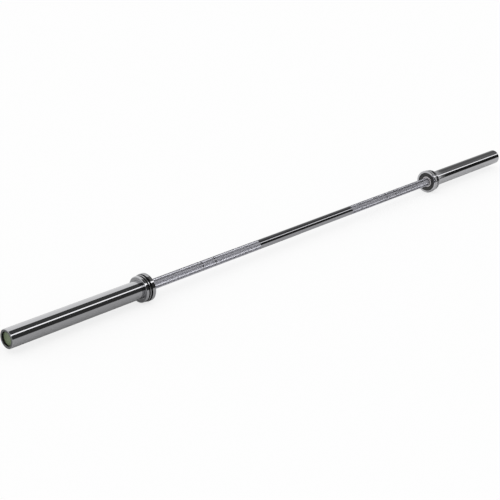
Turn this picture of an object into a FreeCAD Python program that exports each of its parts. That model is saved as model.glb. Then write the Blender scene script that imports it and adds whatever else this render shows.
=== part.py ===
import FreeCAD, Part
import os
import re
import Sketcher

# An olympic barbell: one stepped shaft, and at each end a sleeve that turns on two needle bearings.
# The bar lies along X with its middle at the origin, and +Z is up. All sizes are in millimetres.

SIZES = {
    # whole bar
    "bar_length": 2200.0,           # sleeve tip to sleeve tip
    "collar_span": 1310.0,          # between the inner faces of the two collars
    # shaft
    "grip_diameter": 28.0,          # plain polished stretches
    "knurl_height": 0.2,            # how far the knurled stretches stand above the plain ones
    "centre_length": 438.0,         # plain stretch in the middle
    "outer_mark_span": 910.0,       # between the two outer ring marks
    "mark_pitch": 50.0,             # from an outer ring mark to the inner one beside it
    "mark_width": 4.5,
    "mark_depth": 0.35,             # below the plain stretches
    "knurl_end_gap": 6.0,           # plain band between the knurl and the collar
    "journal_diameter": 25.0,       # stepped-down end that the needles run on
    "journal_chamfer": 1.5,
    "shaft_tail": 5.0,              # journal left beyond the circlip groove
    # sleeve tube
    "sleeve_diameter": 50.0,
    "sleeve_chamfer": 1.0,
    "mouth_bore": 42.0,             # inner end, holds the dust cover, seal and thrust washer
    "pocket_bore": 36.6,            # room for the outer thrust washer and the circlip
    "pocket_length": 22.0,
    "end_bore": 38.2,               # outer end, holds the cap
    "end_bore_depth": 16.0,
    # collar
    "collar_diameter": 76.0,
    "collar_width": 30.0,
    "seat_step": 1.0,               # collar's seat on the tube below the sleeve's surface
    "collar_round": 1.2,            # rounding of the edge round the inner face
    "plate_round": 3.0,             # rounding of the edge on the plate side
    "flange_width": 7.5,            # band on the plate side
    "flange_drop": 2.0,             # how far that band lies below the collar's widest part
    "groove_width": 4.5,
    "groove_depth": 3.0,
    "land_width": 2.6,              # thin rib between the two grooves
    "land_drop": 1.2,               # how far the rib lies below the collar's widest part
    # black ring in the collar's inner face
    "face_land": 5.3,               # flat of the collar's face round the ring
    "face_ring_thickness": 1.5,
    "face_ring_setback": 2.0,
    # mouth of the sleeve
    "cover_thickness": 4.0,
    "cover_rim": 3.7,               # front of the dust cover, seen inside the black ring
    "cover_bevel": 1.0,
    "seal_thickness": 5.0,
    "washer_thickness": 2.5,
    # needle bearings
    "needle_diameter": 2.5,
    "needle_count": 20,
    "cup_wall": 0.94,
    "cup_length": 20.0,
    "cup_setback": 1.0,             # end of a cup below the step beside it
    "cage_wall": 1.2,
    "cage_rim": 1.2,
    # circlip on the shaft's end
    "clip_thickness": 1.2,
    "clip_section": 3.0,            # radial width of the ring
    "clip_groove_depth": 0.6,
    "clip_opening": 7.0,            # gap between the two lugs
    "clip_lug_diameter": 4.4,
    "clip_lug_inset": 0.75,         # middle of a lug inside the ring's outer edge
    "clip_hole_diameter": 2.0,
    # cap in the sleeve's outer end
    "cap_wall": 1.1,                # round the disc
    "cap_skirt": 4.0,               # wall behind the web, which carries the sealing ring
    "cap_web": 3.0,
    "cap_setback": 0.5,             # cap lip below the sleeve's end face
    "disc_depth": 5.5,              # face of the disc below the sleeve's end face
    "disc_thickness": 1.2,
    "seal_ring_section": 2.0,       # round cord of the cap's sealing ring
    "seal_ring_inset": 3.2,         # middle of the sealing ring from the cap's inner end
    # clearances
    "fit_gap": 0.02,                # pressed or bonded pieces, on the radius
    "relief_gap": 0.5,              # bevel of the collar's bore round the sleeve, on the radius
    "running_gap": 0.03,            # needles on the shaft and in the cup, on the radius
    "cage_gap": 0.3,                # cage in the cup, at each end
    "pocket_gap": 0.1,              # needle in its cage pocket, all round
    "cover_gap": 0.3,               # dust cover round the shaft
    "seal_gap": 0.1,                # seal lip round the shaft
    "washer_gap": 0.1,              # thrust washers round the journal
    "lip_gap": 0.5,                 # cup lips round the journal
    "spacer_gap": 1.0,              # distance tube round the journal
    "rim_gap": 0.5,                 # outer thrust washer in its pocket
    "clip_play": 0.05,              # circlip in its groove, each way
    "end_play": 0.15,               # thrust washers against what they bear on
    "ring_groove_gap": 0.2,         # sealing ring in its groove, each side
}

# Places and sizes that follow from the ones above. Each x is a distance outward from the bar's middle.
PLACES = {
    "tip_x": "bar_length / 2",
    "face_x": "collar_span / 2",
    "stop_x": "face_x + collar_width",
    "ring_x": "face_x + face_ring_setback",
    "tube_x": "ring_x + face_ring_thickness",
    "seal_x": "ring_x + cover_thickness",
    "washer_x": "seal_x + seal_thickness",
    "mouth_step_x": "washer_x + washer_thickness",
    "shoulder_x": "washer_x - end_play",
    "cap_x": "tip_x - end_bore_depth",
    "end_step_x": "cap_x - pocket_length",
    "end_washer_x": "end_step_x + end_play",
    "clip_x": "end_washer_x + washer_thickness",
    "clip_end_x": "clip_x + clip_thickness + clip_play",
    "shaft_end_x": "clip_end_x + shaft_tail",
    "inner_cup_x": "mouth_step_x + cup_setback",
    "outer_cup_x": "end_step_x - cup_setback - cup_length",
    "lip_x": "tip_x - cap_setback",
    "disc_x": "tip_x - disc_depth",
    "web_x": "disc_x - disc_thickness",
    "seal_ring_x": "cap_x + seal_ring_inset",
    "ring_groove_half": "seal_ring_section / 2 + ring_groove_gap",
    "knurl_end_x": "face_x - knurl_end_gap",
    "outer_mark_x": "outer_mark_span / 2",
    "inner_mark_x": "outer_mark_x - mark_pitch",
    "grip_r": "grip_diameter / 2",
    "knurl_r": "grip_r + knurl_height",
    "mark_r": "grip_r - mark_depth",
    "journal_r": "journal_diameter / 2",
    "clip_bore_r": "journal_r - clip_groove_depth + clip_play",
    "clip_r": "clip_bore_r + clip_section",
    "needle_r": "journal_r + running_gap + needle_diameter / 2",
    "race_r": "journal_r + 2 * running_gap + needle_diameter",
    "cup_r": "race_r + cup_wall",
    "bore_r": "cup_r + fit_gap",
    "mouth_r": "mouth_bore / 2",
    "mouth_fit_r": "mouth_r - fit_gap",
    "sleeve_r": "sleeve_diameter / 2",
    "seat_r": "sleeve_r - seat_step",
    "collar_bore_r": "seat_r + fit_gap",
    "relief_r": "sleeve_r + relief_gap",
    "relief_x": "stop_x - (relief_r - collar_bore_r)",
    "collar_r": "collar_diameter / 2",
    "groove_r": "collar_r - groove_depth",
    "flange_r": "collar_r - flange_drop",
    "land_r": "collar_r - land_drop",
    "recess_r": "collar_r - collar_round - face_land",
    "face_ring_r": "recess_r - fit_gap",
    "cover_bore_r": "grip_r + cover_gap",
    "cover_r": "cover_bore_r + cover_rim",
    "cap_r": "end_bore / 2 - fit_gap",
    "cap_inner_r": "cap_r - cap_wall",
    "skirt_r": "cap_r - cap_skirt",
    "cage_x": "cup_wall + cage_gap",
    "cage_length": "cup_length - 2 * cage_x",
    "needle_x": "cage_x + cage_rim + pocket_gap",
    "needle_length": "cage_length - 2 * cage_rim - 2 * pocket_gap",
}

# Which way each end of the bar points along X, and how far a piece made for the +X end turns about Z.
SIDES = {"left": (-1, 180), "right": (1, 0)}
Y_AXIS = FreeCAD.Vector(0, 1, 0)
Z_AXIS = FreeCAD.Vector(0, 0, 1)
QUARTER_TURN = 90
FULL_TURN = 360

doc = FreeCAD.newDocument("OlympicBarbell")
parts = []


def bound(formula):
    # put the owner's name before each size or place in a formula
    def owned(match):
        name = match.group(0)
        if name in SIZES:
            return "Sizes." + name
        return "Places." + name if name in PLACES else name
    return re.sub(r"[a-z_]+", owned, formula)


def fill_sheet(name, contents):
    sheet = doc.addObject("Spreadsheet::Sheet", name)
    for row, (alias, content) in enumerate(contents.items(), start=1):
        sheet.set(f"A{row}", alias)
        sheet.set(f"B{row}", content)
        sheet.setAlias(f"B{row}", alias)
    doc.recompute()
    return sheet


fill_sheet("Sizes", {alias: str(size) for alias, size in SIZES.items()})
places = fill_sheet("Places", {alias: "=" + bound(formula) for alias, formula in PLACES.items()})


def value(formula):
    return float(places.evalExpression(bound(formula)))


def bind(feature, formulas):
    for name, formula in formulas.items():
        feature.setExpression(name, bound(formula))


def finish(feature, node, side, distance="0", standing=False):
    # label a piece and turn it to its end of the bar; a standing piece was made along Z
    sign, angle = SIDES[side]
    turn = FreeCAD.Rotation(Z_AXIS, angle)
    if standing:
        turn = turn * FreeCAD.Rotation(Y_AXIS, QUARTER_TURN)
    feature.Label = f"{side}_{node}"
    feature.Placement = FreeCAD.Placement(FreeCAD.Vector(), turn)
    bind(feature, {"Placement.Base.x": f"{sign} * ({distance})"})
    parts.append(feature)


def origin_feature(body, role):
    return next(item for item in body.Origin.OriginFeatures if item.Role == role)


def quarter_round(start, end):
    # convex quarter circle, counterclockwise from start to end, centred on the axis side
    center = FreeCAD.Vector(start.x if start.y > end.y else end.x, min(start.y, end.y), 0)
    circle = Part.Circle(center, Z_AXIS, (end - start).Length / 2 ** 0.5)
    return Part.ArcOfCircle(circle, circle.parameter(start), circle.parameter(end))


def outline(body, name, plane, corners):
    # closed outline, counterclockwise; a corner's third entry is the radius of the round that follows it
    sketch = body.newObject("Sketcher::SketchObject", name)
    sketch.AttachmentSupport = [(origin_feature(body, plane), "")]
    sketch.MapMode = "FlatFace"
    points = [FreeCAD.Vector(value(corner[0]), value(corner[1]), 0) for corner in corners]
    for index, corner in enumerate(corners):
        edge = quarter_round if len(corner) > 2 else Part.LineSegment
        sketch.addGeometry(edge(points[index], points[(index + 1) % len(points)]), False)
    for index, corner in enumerate(corners):
        sketch.addConstraint(Sketcher.Constraint("Coincident", index, 2, (index + 1) % len(corners), 1))
        hold_point(sketch, index, "DistanceX", f"x{index}", corner[0])
        hold_point(sketch, index, "DistanceY", f"y{index}", corner[1])
        if len(corner) > 2:
            hold(sketch, Sketcher.Constraint("Radius", index, value(corner[2])), f"round{index}", corner[2])
    doc.recompute()
    return sketch


def hold_point(sketch, edge, direction, name, formula):
    hold(sketch, Sketcher.Constraint(direction, -1, 1, edge, 1, value(formula)), name, formula)


def hold(sketch, constraint, name, formula):
    sketch.renameConstraint(sketch.addConstraint(constraint), name)
    bind(sketch, {"Constraints." + name: formula})


def turned(name, corners):
    # solid of an outline turned about the bar's axis; corners are (distance along X, radius)
    body = doc.addObject("PartDesign::Body", name)
    sketch = outline(body, name + "_outline", "XY_Plane", corners)
    turn = body.newObject("PartDesign::Revolution", name + "_turn")
    turn.Profile = sketch
    turn.ReferenceAxis = (sketch, ["H_Axis"])
    turn.Angle = FULL_TURN
    doc.recompute()
    return body


def ring(start, length, inner, outer):
    end = f"{start} + {length}"
    return [(start, inner), (end, inner), (end, outer), (start, outer)]


def primitive(kind, name, formulas):
    feature = doc.addObject(kind, name)
    bind(feature, formulas)
    return feature


def fused(name, shapes):
    feature = doc.addObject("Part::MultiFuse", name)
    feature.Shapes = shapes
    return feature


def make_shaft():
    mark = "mark_width / 2"
    corners = [
        ("0", "0"),
        ("shaft_end_x", "0"),
        ("shaft_end_x", "journal_r - journal_chamfer"),
        ("shaft_end_x - journal_chamfer", "journal_r"),
        ("clip_end_x", "journal_r"),
        ("clip_end_x", "journal_r - clip_groove_depth"),
        ("clip_x - clip_play", "journal_r - clip_groove_depth"),
        ("clip_x - clip_play", "journal_r"),
        ("shoulder_x", "journal_r"),
        ("shoulder_x", "grip_r"),
        ("knurl_end_x", "grip_r"),
        ("knurl_end_x", "knurl_r"),
    ]
    for middle in ("outer_mark_x", "inner_mark_x"):
        corners += [
            (f"{middle} + {mark}", "knurl_r"),
            (f"{middle} + {mark}", "mark_r"),
            (f"{middle} - {mark}", "mark_r"),
            (f"{middle} - {mark}", "knurl_r"),
        ]
    corners += [("centre_length / 2", "knurl_r"), ("centre_length / 2", "grip_r"), ("0", "grip_r")]
    body = turned("shaft_body", corners)
    other_half = body.newObject("PartDesign::Mirrored", "shaft_other_half")
    other_half.Originals = [body.Tip]
    other_half.MirrorPlane = (origin_feature(body, "YZ_Plane"), [""])
    body.Tip = other_half
    body.Label = "shaft"
    parts.append(body)


def make_sleeve(side):
    body = turned(f"{side}_tube_body", [
        ("tube_x", "mouth_r"),
        ("mouth_step_x", "mouth_r"),
        ("mouth_step_x", "bore_r"),
        ("end_step_x", "bore_r"),
        ("end_step_x", "pocket_bore / 2"),
        ("cap_x", "pocket_bore / 2"),
        ("cap_x", "end_bore / 2"),
        ("tip_x", "end_bore / 2"),
        ("tip_x", "sleeve_r - sleeve_chamfer"),
        ("tip_x - sleeve_chamfer", "sleeve_r"),
        ("stop_x", "sleeve_r"),
        ("stop_x", "seat_r"),
        ("tube_x", "seat_r"),
    ])
    finish(body, "sleeve_tube", side)


def make_collar(side):
    rim = "stop_x - flange_width"
    rib = f"{rim} - groove_width"
    rib_end = f"{rib} - land_width"
    inner_rim = f"{rib_end} - groove_width"
    body = turned(f"{side}_collar_body", [
        ("tube_x", "collar_bore_r"),
        ("relief_x", "collar_bore_r"),
        ("stop_x", "relief_r"),
        ("stop_x", "flange_r - plate_round", "plate_round"),
        ("stop_x - plate_round", "flange_r"),
        (rim, "flange_r"),
        (rim, "groove_r"),
        (rib, "groove_r"),
        (rib, "land_r"),
        (rib_end, "land_r"),
        (rib_end, "groove_r"),
        (inner_rim, "groove_r"),
        (inner_rim, "collar_r"),
        ("face_x + collar_round", "collar_r", "collar_round"),
        ("face_x", "collar_r - collar_round"),
        ("face_x", "recess_r"),
        ("tube_x", "recess_r"),
    ])
    finish(body, "collar", side)


def make_mouth(side):
    body = turned(f"{side}_face_ring_body",
                  ring("ring_x", "face_ring_thickness", "cover_r + fit_gap", "face_ring_r"))
    finish(body, "collar_face_ring", side)
    body = turned(f"{side}_cover_body", [
        ("ring_x", "cover_bore_r"),
        ("seal_x", "cover_bore_r"),
        ("seal_x", "mouth_fit_r"),
        ("tube_x", "mouth_fit_r"),
        ("tube_x", "cover_r"),
        ("ring_x + cover_bevel", "cover_r"),
        ("ring_x", "cover_r - cover_bevel"),
    ])
    finish(body, "dust_cover", side)
    body = turned(f"{side}_seal_body", ring("seal_x", "seal_thickness", "grip_r + seal_gap", "mouth_fit_r"))
    finish(body, "grease_seal", side)
    body = turned(f"{side}_inner_washer_body",
                  ring("washer_x", "washer_thickness", "journal_r + washer_gap", "mouth_fit_r"))
    finish(body, "inner_thrust_washer", side)


def make_bearing(side, place):
    start = f"{place}_cup_x"
    name = f"{side}_{place}"
    make_cup(side, place, start)
    make_cage(side, place, start)
    rollers = []
    for index in range(round(value("needle_count"))):
        turn = f"{index} * {FULL_TURN} deg / needle_count"
        rollers.append(primitive("Part::Cylinder", f"{name}_needle_{index}", {
            "Radius": "needle_diameter / 2",
            "Height": "needle_length",
            "Placement.Base.x": f"-needle_r * sin({turn})",
            "Placement.Base.y": f"needle_r * cos({turn})",
        }))
    group = doc.addObject("Part::Compound", f"{name}_needle_group")
    group.Links = rollers
    finish(group, f"{place}_bearing_needles", side, f"{start} + needle_x", standing=True)


def make_cup(side, place, start):
    end = f"{start} + cup_length"
    lip = "journal_r + lip_gap"
    body = turned(f"{side}_{place}_cup_body", [
        (start, lip),
        (f"{start} + cup_wall", lip),
        (f"{start} + cup_wall", "race_r"),
        (f"{end} - cup_wall", "race_r"),
        (f"{end} - cup_wall", lip),
        (end, lip),
        (end, "cup_r"),
        (start, "cup_r"),
    ])
    finish(body, f"{place}_bearing_cup", side)


def make_cage(side, place, start):
    name = f"{side}_{place}_cage"
    body = turned(f"{name}_body", ring(
        f"{start} + cage_x", "cage_length", "needle_r - cage_wall / 2", "needle_r + cage_wall / 2"))
    low = f"{start} + cage_x + cage_rim"
    high = f"{low} + needle_length + 2 * pocket_gap"
    half = "needle_diameter / 2 + pocket_gap"
    ring_volume = body.Shape.Volume
    slot = body.newObject("PartDesign::Pocket", f"{name}_slot")
    slot.Profile = outline(body, f"{name}_slot_outline", "XZ_Plane", [
        (low, f"-({half})"), (high, f"-({half})"), (high, half), (low, half)])
    bind(slot, {"Length": "race_r"})
    doc.recompute()
    slots = body.newObject("PartDesign::PolarPattern", f"{name}_slots")
    slots.Originals = [slot]
    slots.Axis = (origin_feature(body, "X_Axis"), [""])
    slots.Angle = FULL_TURN
    bind(slots, {"Occurrences": "needle_count"})
    body.Tip = slots
    doc.recompute()
    if body.Shape.Volume >= ring_volume:
        raise RuntimeError(f"{name} has no needle slots")
    finish(body, f"{place}_bearing_cage", side)


def make_spacer(side):
    body = turned(f"{side}_spacer_body", ring(
        "inner_cup_x + cup_length", "(outer_cup_x - inner_cup_x - cup_length)",
        "journal_r + spacer_gap", "cup_r"))
    finish(body, "bearing_spacer", side)


def make_shaft_end(side):
    body = turned(f"{side}_outer_washer_body", ring(
        "end_washer_x", "washer_thickness", "journal_r + washer_gap", "pocket_bore / 2 - rim_gap"))
    finish(body, "outer_thrust_washer", side)
    name = f"{side}_clip"
    through = {"Height": "3 * clip_thickness", "Placement.Base.z": "-clip_thickness"}
    blank = [primitive("Part::Cylinder", f"{name}_disc", {"Radius": "clip_r", "Height": "clip_thickness"})]
    cuts = [primitive("Part::Cylinder", f"{name}_bore", {"Radius": "clip_bore_r", **through})]
    cuts.append(primitive("Part::Box", f"{name}_opening", {
        "Length": "clip_r + clip_lug_diameter",
        "Width": "clip_opening",
        "Placement.Base.y": "-clip_opening / 2",
        **through,
    }))
    for sign in (-1, 1):
        lug = {
            "Placement.Base.x": "clip_r - clip_lug_inset",
            "Placement.Base.y": f"{sign} * (clip_opening + clip_lug_diameter) / 2",
        }
        blank.append(primitive("Part::Cylinder", f"{name}_lug", {
            "Radius": "clip_lug_diameter / 2", "Height": "clip_thickness", **lug}))
        cuts.append(primitive("Part::Cylinder", f"{name}_hole", {
            "Radius": "clip_hole_diameter / 2", **through, **lug}))
    clip = doc.addObject("Part::Cut", f"{name}_ring")
    clip.Base = fused(f"{name}_blank", blank)
    clip.Tool = fused(f"{name}_cuts", cuts)
    finish(clip, "shaft_circlip", side, "clip_x", standing=True)


def make_cap(side):
    ring_start = "seal_ring_x - ring_groove_half"
    ring_end = "seal_ring_x + ring_groove_half"
    ring_floor = "cap_r - seal_ring_section - fit_gap"
    body = turned(f"{side}_cap_body", [
        ("web_x - cap_web", "0"),
        ("web_x", "0"),
        ("web_x", "cap_inner_r"),
        ("lip_x", "cap_inner_r"),
        ("lip_x", "cap_r"),
        (ring_end, "cap_r"),
        (ring_end, ring_floor),
        (ring_start, ring_floor),
        (ring_start, "cap_r"),
        ("cap_x", "cap_r"),
        ("cap_x", "skirt_r"),
        ("web_x - cap_web", "skirt_r"),
    ])
    finish(body, "end_cap", side)
    body = turned(f"{side}_disc_body", ring("web_x", "disc_thickness", "0", "cap_inner_r - fit_gap"))
    finish(body, "end_cap_disc", side)
    seal_ring = primitive("Part::Torus", f"{side}_seal_ring", {
        "Radius1": "cap_r - seal_ring_section / 2", "Radius2": "seal_ring_section / 2"})
    finish(seal_ring, "end_cap_seal_ring", side, "seal_ring_x", standing=True)


make_shaft()
for end in SIDES:
    make_sleeve(end)
    make_collar(end)
    make_mouth(end)
    make_bearing(end, "inner")
    make_spacer(end)
    make_bearing(end, "outer")
    make_shaft_end(end)
    make_cap(end)
doc.recompute()

failed = [item.Name for item in doc.Objects if {"Invalid", "Error"} & set(item.State)]
failed += [part.Label for part in parts if part.Shape.isNull() or not part.Shape.isValid()]
if failed:
    raise RuntimeError("not built: " + ", ".join(failed))
os.makedirs("parts", exist_ok=True)
for part in parts:
    part.Shape.exportStep(f"parts/{part.Label}.step")
print(f"{len(parts)} pieces written")
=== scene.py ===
import math

import bmesh
import bpy
from mathutils import Matrix, Vector


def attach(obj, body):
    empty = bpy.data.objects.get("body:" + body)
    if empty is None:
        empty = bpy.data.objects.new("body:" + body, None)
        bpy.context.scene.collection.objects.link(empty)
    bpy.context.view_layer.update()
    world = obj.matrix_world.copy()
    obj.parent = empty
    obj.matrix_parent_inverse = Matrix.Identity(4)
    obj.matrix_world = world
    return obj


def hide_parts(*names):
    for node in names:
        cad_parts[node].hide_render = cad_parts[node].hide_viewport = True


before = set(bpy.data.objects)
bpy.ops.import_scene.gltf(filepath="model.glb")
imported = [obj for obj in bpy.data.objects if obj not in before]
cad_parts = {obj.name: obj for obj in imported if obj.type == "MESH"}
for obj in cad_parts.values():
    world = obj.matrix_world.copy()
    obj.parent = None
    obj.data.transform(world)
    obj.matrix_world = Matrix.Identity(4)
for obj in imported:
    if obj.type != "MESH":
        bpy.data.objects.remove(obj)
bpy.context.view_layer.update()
print("frame loaded,", len(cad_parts), "nodes")

mm = 0.001
tiny = 1e-6
sharpAngle = math.radians(25)
fullTurn = 2 * math.pi
sides = {"left": True, "right": False}  # pieces are made for the right end, the left one is turned round
scene = bpy.context.scene


# materials: shared effects as groups, shaders in each material

def newGroup(name, inputs, outputs):
    group = bpy.data.node_groups.new(name, "ShaderNodeTree")
    for socketName, kind in inputs:
        group.interface.new_socket(socketName, in_out="INPUT", socket_type=kind)
    for socketName, kind in outputs:
        group.interface.new_socket(socketName, in_out="OUTPUT", socket_type=kind)
    return group, group.nodes.new("NodeGroupInput"), group.nodes.new("NodeGroupOutput")


def noiseNode(nodes, detail, roughness):
    noise = nodes.new("ShaderNodeTexNoise")
    noise.inputs["Detail"].default_value = detail
    noise.inputs["Roughness"].default_value = roughness
    return noise


def makePatchyGloss():
    # gloss that drifts between two levels, as wiped and handled metal does
    group, into, out = newGroup(
        "patchyGloss",
        [("Vector", "NodeSocketVector"), ("Scale", "NodeSocketFloat"),
         ("Smooth", "NodeSocketFloat"), ("Rough", "NodeSocketFloat")],
        [("Roughness", "NodeSocketFloat")])
    noise = noiseNode(group.nodes, 4.0, 0.6)
    spread = group.nodes.new("ShaderNodeMapRange")
    spread.inputs["From Min"].default_value = 0.3
    spread.inputs["From Max"].default_value = 0.7
    link = group.links.new
    link(into.outputs["Vector"], noise.inputs["Vector"])
    link(into.outputs["Scale"], noise.inputs["Scale"])
    link(noise.outputs["Fac"], spread.inputs["Value"])
    link(into.outputs["Smooth"], spread.inputs["To Min"])
    link(into.outputs["Rough"], spread.inputs["To Max"])
    link(spread.outputs["Result"], out.inputs["Roughness"])
    return group


def makeToneDrift():
    # colour that drifts between two close tones
    group, into, out = newGroup(
        "toneDrift",
        [("Vector", "NodeSocketVector"), ("Scale", "NodeSocketFloat"),
         ("Dark", "NodeSocketColor"), ("Light", "NodeSocketColor")],
        [("Color", "NodeSocketColor")])
    noise = noiseNode(group.nodes, 3.0, 0.55)
    mix = group.nodes.new("ShaderNodeMix")
    mix.data_type = "RGBA"
    link = group.links.new
    link(into.outputs["Vector"], noise.inputs["Vector"])
    link(into.outputs["Scale"], noise.inputs["Scale"])
    link(noise.outputs["Fac"], mix.inputs["Factor"])
    colourA, colourB, colourOut = 6, 7, 2  # the mix node's own sockets for colours
    link(into.outputs["Dark"], mix.inputs[colourA])
    link(into.outputs["Light"], mix.inputs[colourB])
    link(mix.outputs[colourOut], out.inputs["Color"])
    return group


def makeLatheLines():
    # fine rings round the bar that a turning tool leaves
    group, into, out = newGroup(
        "latheLines",
        [("Vector", "NodeSocketVector"), ("Fineness", "NodeSocketFloat")],
        [("Height", "NodeSocketFloat")])
    along = group.nodes.new("ShaderNodeSeparateXYZ")
    rings = noiseNode(group.nodes, 2.0, 0.5)
    rings.noise_dimensions = "1D"
    link = group.links.new
    link(into.outputs["Vector"], along.inputs["Vector"])
    link(along.outputs["X"], rings.inputs["W"])
    link(into.outputs["Fineness"], rings.inputs["Scale"])
    link(rings.outputs["Fac"], out.inputs["Height"])
    return group


def makeCastGrain():
    # small pebbled relief of moulded plastic and rubber
    group, into, out = newGroup(
        "castGrain",
        [("Vector", "NodeSocketVector"), ("Scale", "NodeSocketFloat")],
        [("Height", "NodeSocketFloat")])
    cells = group.nodes.new("ShaderNodeTexVoronoi")
    link = group.links.new
    link(into.outputs["Vector"], cells.inputs["Vector"])
    link(into.outputs["Scale"], cells.inputs["Scale"])
    link(cells.outputs["Distance"], out.inputs["Height"])
    return group


patchyGloss = makePatchyGloss()
toneDrift = makeToneDrift()
latheLines = makeLatheLines()
castGrain = makeCastGrain()


def makeFinish(name, dark, light, smooth, rough, metallic, relief, patch=18.0, coat=0.0, sheen=0.5):
    # relief is (group, its size per metre, bump strength, bump distance in metres)
    material = bpy.data.materials.new(name)
    material.use_nodes = True
    nodes, link = material.node_tree.nodes, material.node_tree.links.new
    shader = nodes["Principled BSDF"]
    shader.inputs["Metallic"].default_value = metallic
    shader.inputs["Coat Weight"].default_value = coat
    shader.inputs["Specular IOR Level"].default_value = sheen
    place = nodes.new("ShaderNodeTexCoord")

    def placed(group, **values):
        node = nodes.new("ShaderNodeGroup")
        node.node_tree = group
        link(place.outputs["Object"], node.inputs["Vector"])
        for socketName, value in values.items():
            node.inputs[socketName].default_value = value
        return node

    tone = placed(toneDrift, Scale=patch, Dark=(*dark, 1.0), Light=(*light, 1.0))
    link(tone.outputs["Color"], shader.inputs["Base Color"])
    gloss = placed(patchyGloss, Scale=patch * 2.5, Smooth=smooth, Rough=rough)
    link(gloss.outputs["Roughness"], shader.inputs["Roughness"])
    group, size, strength, distance = relief
    sizeSocket = "Fineness" if group == latheLines else "Scale"
    height = placed(group, **{sizeSocket: size})
    bump = nodes.new("ShaderNodeBump")
    bump.inputs["Strength"].default_value = strength
    bump.inputs["Distance"].default_value = distance
    link(height.outputs["Height"], bump.inputs["Height"])
    link(bump.outputs["Normal"], shader.inputs["Normal"])
    return material


mirrorChrome = makeFinish("mirrorChrome", (0.42, 0.42, 0.43), (0.47, 0.47, 0.485), 0.03, 0.06, 1.0,
                          (latheLines, 900.0, 0.05, 0.00002))
polishedShaft = makeFinish("polishedShaft", (0.42, 0.42, 0.44), (0.47, 0.47, 0.49), 0.03, 0.06, 1.0,
                           (latheLines, 1500.0, 0.08, 0.00002))
knurledSteel = makeFinish("knurledSteel", (0.57, 0.57, 0.615), (0.63, 0.63, 0.68), 0.24, 0.32, 1.0,
                          (latheLines, 2500.0, 0.15, 0.00003), patch=30.0)
coverSteel = makeFinish("coverSteel", (0.55, 0.53, 0.54), (0.63, 0.61, 0.62), 0.4, 0.5, 0.35,
                        (latheLines, 4000.0, 0.12, 0.00003), patch=60.0)
satinBlack = makeFinish("satinBlack", (0.01, 0.01, 0.01), (0.02, 0.019, 0.019), 0.38, 0.55, 0.0,
                        (castGrain, 2500.0, 0.1, 0.00004), patch=60.0)
capBlack = makeFinish("capBlack", (0.005, 0.005, 0.004), (0.011, 0.011, 0.009), 0.35, 0.5, 0.0,
                      (castGrain, 1800.0, 0.1, 0.00005), patch=60.0, sheen=0.15)
capGreen = makeFinish("capGreen", (0.13, 0.165, 0.095), (0.19, 0.235, 0.14), 0.35, 0.5, 0.0,
                      (castGrain, 1500.0, 0.12, 0.00004), patch=90.0, coat=0.2)
groundSteel = makeFinish("groundSteel", (0.46, 0.46, 0.48), (0.54, 0.54, 0.56), 0.15, 0.25, 1.0,
                         (latheLines, 5000.0, 0.1, 0.00002), patch=80.0)
drawnTube = makeFinish("drawnTube", (0.5, 0.5, 0.51), (0.6, 0.6, 0.61), 0.28, 0.4, 1.0,
                       (latheLines, 700.0, 0.15, 0.00004))
mouldedNylon = makeFinish("mouldedNylon", (0.62, 0.57, 0.42), (0.74, 0.7, 0.54), 0.45, 0.6, 0.0,
                          (castGrain, 1600.0, 0.15, 0.00005), patch=80.0)
sealRubber = makeFinish("sealRubber", (0.018, 0.018, 0.018), (0.035, 0.035, 0.035), 0.55, 0.75, 0.0,
                        (castGrain, 2200.0, 0.2, 0.00005), patch=80.0)
blackGroove = makeFinish("blackGroove", (0.003, 0.003, 0.003), (0.007, 0.007, 0.007), 0.45, 0.6, 0.0,
                         (latheLines, 4000.0, 0.1, 0.00003), patch=60.0, sheen=0.08)
print("materials made")


# shapes

def lathe(outline, steps):
    # closed outline of (along, radius) in mm, turned about the bar's axis
    bm = bmesh.new()
    corners = [bm.verts.new((x * mm, 0.0, r * mm)) for x, r in outline]
    wires = [bm.edges.new(pair) for pair in zip(corners, corners[1:] + corners[:1])]
    turnRound(bm, corners + wires, steps)
    return bm


def turnRound(bm, geometry, steps):
    bmesh.ops.spin(bm, geom=geometry, cent=(0, 0, 0), axis=(1, 0, 0), dvec=(0, 0, 0),
                   angle=fullTurn, steps=steps, use_merge=True, use_duplicate=False)
    bmesh.ops.remove_doubles(bm, verts=bm.verts[:], dist=tiny)
    bmesh.ops.recalc_face_normals(bm, faces=bm.faces[:])


def radiusOf(vert):
    return math.hypot(vert.co.y, vert.co.z)


def roundRings(bm, rings, width, segments):
    # break the ring-shaped edges that run through the given (along, radius) places
    near = 0.01 * mm

    def onRing(vert, x, r):
        return abs(vert.co.x - x * mm) < near and abs(radiusOf(vert) - r * mm) < near

    edges = [e for e in bm.edges if any(all(onRing(v, x, r) for v in e.verts) for x, r in rings)]
    bmesh.ops.bevel(bm, geom=edges, offset=width * mm, offset_type="OFFSET", affect="EDGES",
                    segments=segments, profile=0.5, material=-1)


def makePiece(bm, name, body, node, finishes, turned=False, flatSlot=None):
    if turned:
        bmesh.ops.rotate(bm, cent=(0, 0, 0), matrix=Matrix.Rotation(math.pi, 3, "Z"), verts=bm.verts[:])
    for face in bm.faces:
        face.smooth = face.material_index != flatSlot
    mesh = bpy.data.meshes.new(name)
    bm.to_mesh(mesh)
    bm.free()
    mesh.set_sharp_from_angle(angle=sharpAngle)
    for finish in finishes:
        mesh.materials.append(finish)
    piece = bpy.data.objects.new(name, mesh)
    scene.collection.objects.link(piece)
    if flatSlot is None:
        # the broad faces keep their own normals beside the narrow rounds
        even = piece.modifiers.new("evenNormals", "WEIGHTED_NORMAL")
        even.keep_sharp = True
    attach(piece, body)
    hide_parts(node)


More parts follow.
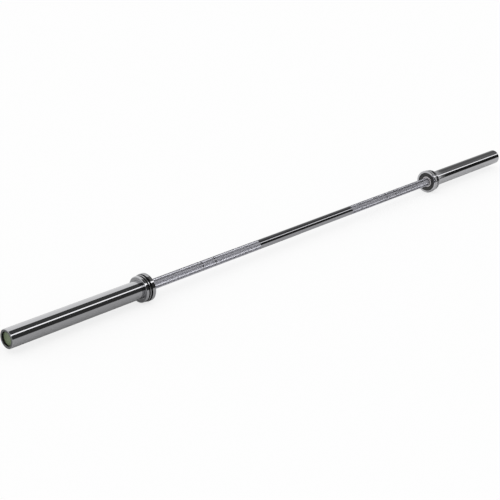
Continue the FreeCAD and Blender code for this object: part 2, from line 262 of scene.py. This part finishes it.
shaft = {
    "plain": 14.0, "peak": 14.2, "valley": 13.63, "mark": 13.65, "journal": 12.5, "groove": 11.9,
    "centre": 219.0, "marks": (405.0, 455.0), "markWidth": 4.5, "knurlEnd": 649.0,
    "shoulder": 665.85, "clip": (1064.6, 1065.9), "end": 1070.9, "chamfer": 1.5,
    "rowStep": 1.11, "steps": 116,  # half a diamond along the bar, half diamonds round it
    "slack": 0.01, "wallGap": 0.1,  # tell the knurl's points from the rest, and its faces from the marks' walls
}


def shaftOutline():
    # right half from the middle outwards, and the stretches that carry knurling
    p = shaft
    half = p["markWidth"] / 2
    points, knurls, start = [(p["centre"], p["plain"])], [], p["centre"]
    for mark in p["marks"]:
        knurls.append((start, mark - half))
        points += [(start, p["peak"]), (mark - half, p["peak"]),
                   (mark - half, p["mark"]), (mark + half, p["mark"])]
        start = mark + half
    knurls.append((start, p["knurlEnd"]))
    points += [(start, p["peak"]), (p["knurlEnd"], p["peak"]), (p["knurlEnd"], p["plain"]),
               (p["shoulder"], p["plain"]), (p["shoulder"], p["journal"]),
               (p["clip"][0], p["journal"]), (p["clip"][0], p["groove"]),
               (p["clip"][1], p["groove"]), (p["clip"][1], p["journal"]),
               (p["end"] - p["chamfer"], p["journal"]), (p["end"], p["journal"] - p["chamfer"]), (p["end"], 0.0)]
    return points, knurls


def makeShaft():
    p = shaft
    right, knurls = shaftOutline()
    outline = [(-x, r) for x, r in reversed(right)] + right
    stretches = knurls + [(-high, -low) for low, high in knurls]
    bm = bmesh.new()
    corners = [bm.verts.new((x * mm, 0.0, r * mm)) for x, r in outline]
    wires = [bm.edges.new(pair) for pair in zip(corners, corners[1:])]
    for low, high in stretches:
        run = [e for e in wires if e.is_valid
               and abs(min(v.co.x for v in e.verts) - low * mm) < tiny
               and abs(max(v.co.x for v in e.verts) - high * mm) < tiny]
        bmesh.ops.subdivide_edges(bm, edges=run, cuts=round((high - low) / p["rowStep"]) - 1)
    turnRound(bm, bm.verts[:] + bm.edges[:], p["steps"])
    raiseDiamonds(bm, stretches)
    makePiece(bm, "knurledShaft", "shaft", "shaft",
              [polishedShaft, knurledSteel], flatSlot=1)


def raiseDiamonds(bm, stretches):
    # every other point up and every other down gives four-sided points with crossing grooves between
    p = shaft
    shrink = p["valley"] / p["peak"]
    for low, high in stretches:
        rows = round((high - low) / p["rowStep"])
        step = (high - low) / rows * mm
        top = (p["peak"] - p["slack"]) * mm
        band = [v for v in bm.verts if low * mm - tiny < v.co.x < high * mm + tiny and radiusOf(v) > top]
        for vert in band:
            row = round((vert.co.x - low * mm) / step)
            column = round(math.atan2(vert.co.y, vert.co.z) / fullTurn * p["steps"])
            if (row + column) % 2 == 0:
                vert.co.y *= shrink
                vert.co.z *= shrink
    faces = []
    outer = p["mark"] * mm + p["wallGap"] * mm
    for face in bm.faces:
        middle = face.calc_center_median()
        inside = any(low * mm < middle.x < high * mm for low, high in stretches)
        if inside and math.hypot(middle.y, middle.z) > outer and len(face.verts) == 4:
            faces.append(face)
            face.material_index = 1
    bmesh.ops.triangulate(bm, faces=faces, quad_method="SHORT_EDGE")


makeShaft()
print("shaft made")

sleeve = {
    "mouth": 658.5, "stop": 685.0, "tip": 1100.0, "radius": 25.0, "seat": 24.0, "chamfer": 1.0, "edge": 0.4,
    "bores": ((668.5, 21.0), (1062.0, 16.02), (1084.0, 18.3)), "endBore": 19.1, "steps": 144,
}


def makeSleeve(side, turned):
    p = sleeve
    (mouthStep, mouthBore), (endStep, bore), (capSeat, pocket) = p["bores"]
    shoulder = p["radius"] - p["chamfer"]
    bm = lathe([
        (p["mouth"], mouthBore), (mouthStep, mouthBore), (mouthStep, bore), (endStep, bore), (endStep, pocket),
        (capSeat, pocket), (capSeat, p["endBore"]), (p["tip"], p["endBore"]), (p["tip"], shoulder),
        (p["tip"] - p["chamfer"], p["radius"]), (p["stop"], p["radius"]), (p["stop"], p["seat"]),
        (p["mouth"], p["seat"])], p["steps"])
    tipEdges = [(p["tip"], p["endBore"]), (p["tip"], shoulder), (p["tip"] - p["chamfer"], p["radius"])]
    roundRings(bm, tipEdges, p["edge"], 3)
    makePiece(bm, side + "SleeveTube", side + "_sleeve", side + "_sleeve_tube", [mirrorChrome], turned)


collar = {
    "face": 655.0, "stop": 685.0, "radius": 38.0, "plateRadius": 36.0, "bore": 24.02, "relief": 25.5,
    "grooves": ((677.5, 673.0), (670.4, 665.9)), "floor": 35.0, "rib": 36.8,
    "recess": 31.5, "recessEnd": 658.5, "round": 1.2, "plateRound": 3.0, "edge": 0.5, "ribEdge": 1.2,
    "blackGap": 0.6,  # how far the grooves' black stays below the rib's top
    "steps": 144,
}


def makeCollar(side, turned):
    p = collar
    outline = [(p["recessEnd"], p["bore"]), (p["stop"] - (p["relief"] - p["bore"]), p["bore"]),
               (p["stop"], p["relief"]), (p["stop"], p["plateRadius"])]
    (rimA, ribA), (ribB, rimB) = p["grooves"]
    outline += [(rimA, p["plateRadius"]), (rimA, p["floor"]), (ribA, p["floor"]), (ribA, p["rib"]),
                (ribB, p["rib"]), (ribB, p["floor"]), (rimB, p["floor"]), (rimB, p["radius"])]
    outline += [(p["face"], p["radius"]), (p["face"], p["recess"]), (p["recessEnd"], p["recess"])]
    bm = lathe(outline, p["steps"])
    roundRings(bm, [(p["stop"], p["plateRadius"])], p["plateRound"], 8)
    roundRings(bm, [(p["face"], p["radius"])], p["round"], 6)
    roundRings(bm, [(rimA, p["plateRadius"]), (rimB, p["radius"]), (p["face"], p["recess"])], p["edge"], 3)
    roundRings(bm, [(ribA, p["rib"]), (ribB, p["rib"])], p["ribEdge"], 4)
    # the grooves' walls and floors, from the rib's top less this gap down to the groove floor, are coloured
    # near-black
    for face in bm.faces:
        middle = face.calc_center_median()
        inGroove = any(low * mm - tiny < middle.x < high * mm + tiny for high, low in p["grooves"])
        if inGroove and math.hypot(middle.y, middle.z) < (p["rib"] - p["blackGap"]) * mm:
            face.material_index = 1
    makePiece(bm, side + "Collar", side + "_sleeve", side + "_collar",
              [mirrorChrome, blackGroove], turned)


faceRing = {"start": 657.0, "end": 658.5, "inner": 18.02, "outer": 31.48, "edge": 0.2, "steps": 128}


def makeFaceRing(side, turned):
    p = faceRing
    bm = lathe([(p["start"], p["inner"]), (p["end"], p["inner"]), (p["end"], p["outer"]),
                (p["start"], p["outer"])], p["steps"])
    roundRings(bm, [(p["start"], p["inner"]), (p["start"], p["outer"])], p["edge"], 2)
    makePiece(bm, side + "CollarFaceRing", side + "_sleeve", side + "_collar_face_ring",
              [satinBlack], turned)


dustCover = {
    "start": 657.0, "step": 658.5, "end": 661.0, "inner": 14.3, "front": 18.0, "outer": 20.98, "bevel": 1.0,
    "boreEdge": 0.3, "steps": 128,
}


def makeDustCover(side, turned):
    p = dustCover
    bm = lathe([(p["start"], p["inner"]), (p["end"], p["inner"]), (p["end"], p["outer"]),
                (p["step"], p["outer"]), (p["step"], p["front"]), (p["start"], p["front"])], p["steps"])
    roundRings(bm, [(p["start"], p["front"])], p["bevel"], 4)
    roundRings(bm, [(p["start"], p["inner"])], p["boreEdge"], 2)
    makePiece(bm, side + "DustCover", side + "_sleeve", side + "_dust_cover", [coverSteel], turned)


endCap = {
    "back": 1084.0, "lip": 1099.5, "radius": 19.08, "inner": 17.98, "skirt": 15.08, "floor": 1093.3, "web": 3.0,
    "cordGroove": (1086.0, 1088.4), "cordFloor": 17.06, "edge": 0.3, "steps": 128,
}


def makeEndCap(side, turned):
    p = endCap
    low, high = p["cordGroove"]
    bm = lathe([
        (p["floor"] - p["web"], 0.0), (p["floor"], 0.0), (p["floor"], p["inner"]), (p["lip"], p["inner"]),
        (p["lip"], p["radius"]), (high, p["radius"]), (high, p["cordFloor"]), (low, p["cordFloor"]),
        (low, p["radius"]), (p["back"], p["radius"]), (p["back"], p["skirt"]),
        (p["floor"] - p["web"], p["skirt"])], p["steps"])
    roundRings(bm, [(p["lip"], p["inner"]), (p["lip"], p["radius"])], p["edge"], 3)
    makePiece(bm, side + "EndCap", side + "_sleeve", side + "_end_cap", [capBlack], turned)


capDisc = {
    "back": 1093.3, "face": 1094.5, "radius": 17.96, "dish": 0.35, "rim": 2.0, "slope": 1.0, "edge": 0.3,
    "steps": 128,
}


def makeCapDisc(side, turned):
    p = capDisc
    hollow = p["face"] - p["dish"]
    rim = p["radius"] - p["rim"]
    bm = lathe([(p["back"], 0.0), (hollow, 0.0), (hollow, rim - p["slope"]), (p["face"], rim),
                (p["face"], p["radius"]), (p["back"], p["radius"])], p["steps"])
    roundRings(bm, [(p["face"], p["radius"])], p["edge"], 2)
    makePiece(bm, side + "EndCapDisc", side + "_sleeve", side + "_end_cap_disc", [capGreen], turned)


for side, turned in sides.items():
    makeSleeve(side, turned)
    makeCollar(side, turned)
    makeFaceRing(side, turned)
    makeDustCover(side, turned)
    makeEndCap(side, turned)
    makeCapDisc(side, turned)
    print(side, "end made")

innerFinishes = {
    "grease_seal": sealRubber, "end_cap_seal_ring": sealRubber, "bearing_spacer": drawnTube,
    "inner_bearing_cage": mouldedNylon, "outer_bearing_cage": mouldedNylon,
    "inner_bearing_cup": groundSteel, "outer_bearing_cup": groundSteel,
    "inner_bearing_needles": groundSteel, "outer_bearing_needles": groundSteel,
    "inner_thrust_washer": groundSteel, "outer_thrust_washer": groundSteel, "shaft_circlip": groundSteel,
}
for side in sides:
    for node, finish in innerFinishes.items():
        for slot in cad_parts[side + "_" + node].material_slots:
            slot.material = finish
print("inner pieces finished")


# studio

studio = {
    "floor": -0.038, "floorSize": 60.0, "floorTone": 0.94, "paperGlow": 0.75,
    "sky": 0.88, "sun": 0.5, "sunAngle": 60.0, "sunTilt": (25, -20),
    "cardRadius": 2.6, "cardGap": 0.003, "cardSteps": 24,
    # each card: from and to in degrees up from the front, how bright, from and to along the bar in metres;
    # a later card hangs just inside the earlier ones
    "cards": {
        "frontFlag": (-0.8, 43.5, 0.02, -12.0, 12.0),
        "stripLight": (43.5, 54.5, 2.1, -12.0, 12.0),
        "topFlag": (54.5, 102.0, 0.2, -12.0, 12.0),
        "backFlag": (102.0, 140.0, 0.15, -12.0, 12.0),
        "backPanel": (140.0, 179.0, 0.34, -12.0, 12.0),
        "nearFrontFlag": (-0.8, 42.7, 0.05, -12.0, 1.43),
        "nearStripLight": (42.7, 53.7, 2.2, -12.0, 1.43),
        "nearTopFlag": (53.7, 102.0, 0.08, -12.0, 1.32),
        "nearBackPanel": (102.0, 179.0, 1.15, -12.0, 1.32),
        "collarBackPanel": (102.0, 179.0, 0.75, 1.32, 1.45),
        "fadeBackPanel": (102.0, 179.0, 0.4, 1.45, 1.65),
        "middleFrontFlag": (-0.8, 45.5, 0.02, 1.43, 4.13),
        "middleStripLight": (45.5, 59.0, 1.5, 1.43, 4.13),
        "middleTopFlag": (59.0, 102.0, 0.07, 1.43, 3.9),
        "knurlStripLight": (40.0, 58.0, 2.6, -12.0, 0.2),
        "farCollarFront": (-0.8, 43.5, 0.9, 4.13, 4.268),
        "farCollarTop": (54.5, 179.0, 0.65, 4.13, 4.268),
    },
    # each sheet on the floor: from corner, to corner, height over the floor, tone
    "sheets": {
        "frontSheet": ((-12.0, -2.6), (0.62, 0.0), 0.0004, 0.6),
        "frontFarSheet": ((0.62, -2.6), (12.0, 0.0), 0.0004, 0.83),
        "backSheet": ((-12.0, 0.0), (0.0, 2.6), 0.0004, 0.56),
        "nearShade": ((-12.0, -2.6), (0.13, -0.7), 0.0008, 0.1),
        "farShade": ((0.13, -2.6), (12.0, -0.3), 0.0008, 0.08),
        "tipSheet": ((-1.2, 0.0), (-1.105, 2.6), 0.0008, 0.27),
    },
}


def paperMaterial(name, tone):
    paper = bpy.data.materials.new(name)
    paper.use_nodes = True
    shader = paper.node_tree.nodes["Principled BSDF"]
    shader.inputs["Base Color"].default_value = (tone, tone, tone, 1.0)
    shader.inputs["Roughness"].default_value = 0.9
    shader.inputs["Specular IOR Level"].default_value = 0.0
    return paper


def seenDirectly(tree, share):
    # the given share for rays that show the backdrop, nothing for those that light the bar
    path = tree.nodes.new("ShaderNodeLightPath")
    rays = path.outputs["Is Camera Ray"]
    for kind in ("Is Glossy Ray", "Is Transmission Ray"):
        either = tree.nodes.new("ShaderNodeMath")
        either.operation = "MAXIMUM"
        tree.links.new(rays, either.inputs[0])
        tree.links.new(path.outputs[kind], either.inputs[1])
        rays = either.outputs[0]
    part = tree.nodes.new("ShaderNodeMath")
    part.operation = "MULTIPLY"
    part.inputs[1].default_value = share
    tree.links.new(rays, part.inputs[0])
    return part.outputs[0]


def whitenedPaper():
    # white paper whose shadow stays, but faint
    paper = paperMaterial("whitePaper", studio["floorTone"])
    tree = paper.node_tree
    glow = tree.nodes.new("ShaderNodeEmission")
    mix = tree.nodes.new("ShaderNodeMixShader")
    tree.links.new(seenDirectly(tree, studio["paperGlow"]), mix.inputs["Fac"])
    tree.links.new(tree.nodes["Principled BSDF"].outputs["BSDF"], mix.inputs[1])
    tree.links.new(glow.outputs["Emission"], mix.inputs[2])
    tree.links.new(mix.outputs["Shader"], tree.nodes["Material Output"].inputs["Surface"])
    return paper


def glowMaterial(name, strength):
    material = bpy.data.materials.new(name)
    material.use_nodes = True
    nodes = material.node_tree.nodes
    nodes.clear()
    glow = nodes.new("ShaderNodeEmission")
    glow.inputs["Strength"].default_value = strength
    out = nodes.new("ShaderNodeOutputMaterial")
    material.node_tree.links.new(glow.outputs["Emission"], out.inputs["Surface"])
    return material


def addCard(name, bm, material):
    # studio card that shows only in reflections
    mesh = bpy.data.meshes.new(name)
    bm.to_mesh(mesh)
    bm.free()
    mesh.materials.append(material)
    card = bpy.data.objects.new(name, mesh)
    scene.collection.objects.link(card)
    card.visible_camera = False
    card.visible_diffuse = False
    card.visible_transmission = False
    card.visible_shadow = False


def makeSheet(name, start, end, height, tone):
    bm = bmesh.new()
    bmesh.ops.create_grid(bm, x_segments=1, y_segments=1, size=0.5)
    width, depth = end[0] - start[0], end[1] - start[1]
    bmesh.ops.scale(bm, vec=(width, depth, 1.0), verts=bm.verts[:])
    middle = ((start[0] + end[0]) / 2, (start[1] + end[1]) / 2, studio["floor"] + height)
    bmesh.ops.translate(bm, vec=middle, verts=bm.verts[:])
    addCard(name, bm, paperMaterial(name + "Paper", tone))


def makeCard(name, order, low, high, strength, start, end):
    # curved card along the bar
    bm = bmesh.new()
    angle = math.radians(high)
    radius = studio["cardRadius"] - studio["cardGap"] * order
    y, z = -math.cos(angle) * radius, math.sin(angle) * radius
    ends = [bm.verts.new((x, y, z)) for x in (start, end)]
    wire = bm.edges.new(ends)
    bmesh.ops.spin(bm, geom=ends + [wire], cent=(0, 0, 0), axis=(1, 0, 0), dvec=(0, 0, 0),
                   angle=math.radians(high - low), steps=studio["cardSteps"], use_merge=False,
                   use_duplicate=False)
    addCard(name, bm, glowMaterial(name + "Glow", strength))


def makeFloor():
    bm = bmesh.new()
    bmesh.ops.create_grid(bm, x_segments=1, y_segments=1, size=studio["floorSize"])
    bmesh.ops.translate(bm, vec=(0, 0, studio["floor"]), verts=bm.verts[:])
    mesh = bpy.data.meshes.new("studioFloor")
    bm.to_mesh(mesh)
    bm.free()
    mesh.materials.append(whitenedPaper())
    floor = bpy.data.objects.new("studioFloor", mesh)
    scene.collection.objects.link(floor)


makeFloor()
for order, (name, values) in enumerate(studio["cards"].items()):
    makeCard(name, order, *values)
for name, values in studio["sheets"].items():
    makeSheet(name, *values)
sunData = bpy.data.lights.new("softSun", "SUN")
sunData.energy = studio["sun"]
sunData.angle = math.radians(studio["sunAngle"])
sun = bpy.data.objects.new("softSun", sunData)
sun.rotation_euler = (*(math.radians(tilt) for tilt in studio["sunTilt"]), 0.0)
sun.visible_glossy = False
scene.collection.objects.link(sun)
world = bpy.data.worlds.new("paleSky")
scene.world = world
world.use_nodes = True
sky = world.node_tree.nodes["Background"]
sky.inputs["Color"].default_value = (1.0, 1.0, 1.0, 1.0)
brighter = world.node_tree.nodes.new("ShaderNodeMath")
brighter.inputs[1].default_value = studio["sky"]
world.node_tree.links.new(seenDirectly(world.node_tree, 1.0 - studio["sky"]), brighter.inputs[0])
world.node_tree.links.new(brighter.outputs[0], sky.inputs["Strength"])
print("studio lit")

# camera, from the angle and distance of the photograph
view = {
    "azimuth": -47.66, "elevation": 20.08, "distance": 3.3257, "right": -0.169, "up": -0.0698,
    "lens": 78.63, "sensor": 36.0,
}
azimuth, elevation = math.radians(view["azimuth"]), math.radians(view["elevation"])
level = math.cos(elevation)
back = Vector((math.sin(azimuth) * level, -math.cos(azimuth) * level, math.sin(elevation)))
right = Vector((math.cos(azimuth), math.sin(azimuth), 0.0))
cameraData = bpy.data.cameras.new("photoCamera")
cameraData.sensor_width = view["sensor"]
cameraData.lens = view["lens"]
camera = bpy.data.objects.new("photoCamera", cameraData)
camera.location = back * view["distance"] + right * view["right"] + back.cross(right) * view["up"]
camera.rotation_mode = "QUATERNION"
camera.rotation_quaternion = (-back).to_track_quat("-Z", "Y")
scene.collection.objects.link(camera)
scene.camera = camera
scene.view_settings.view_transform = "Standard"
print("camera set")
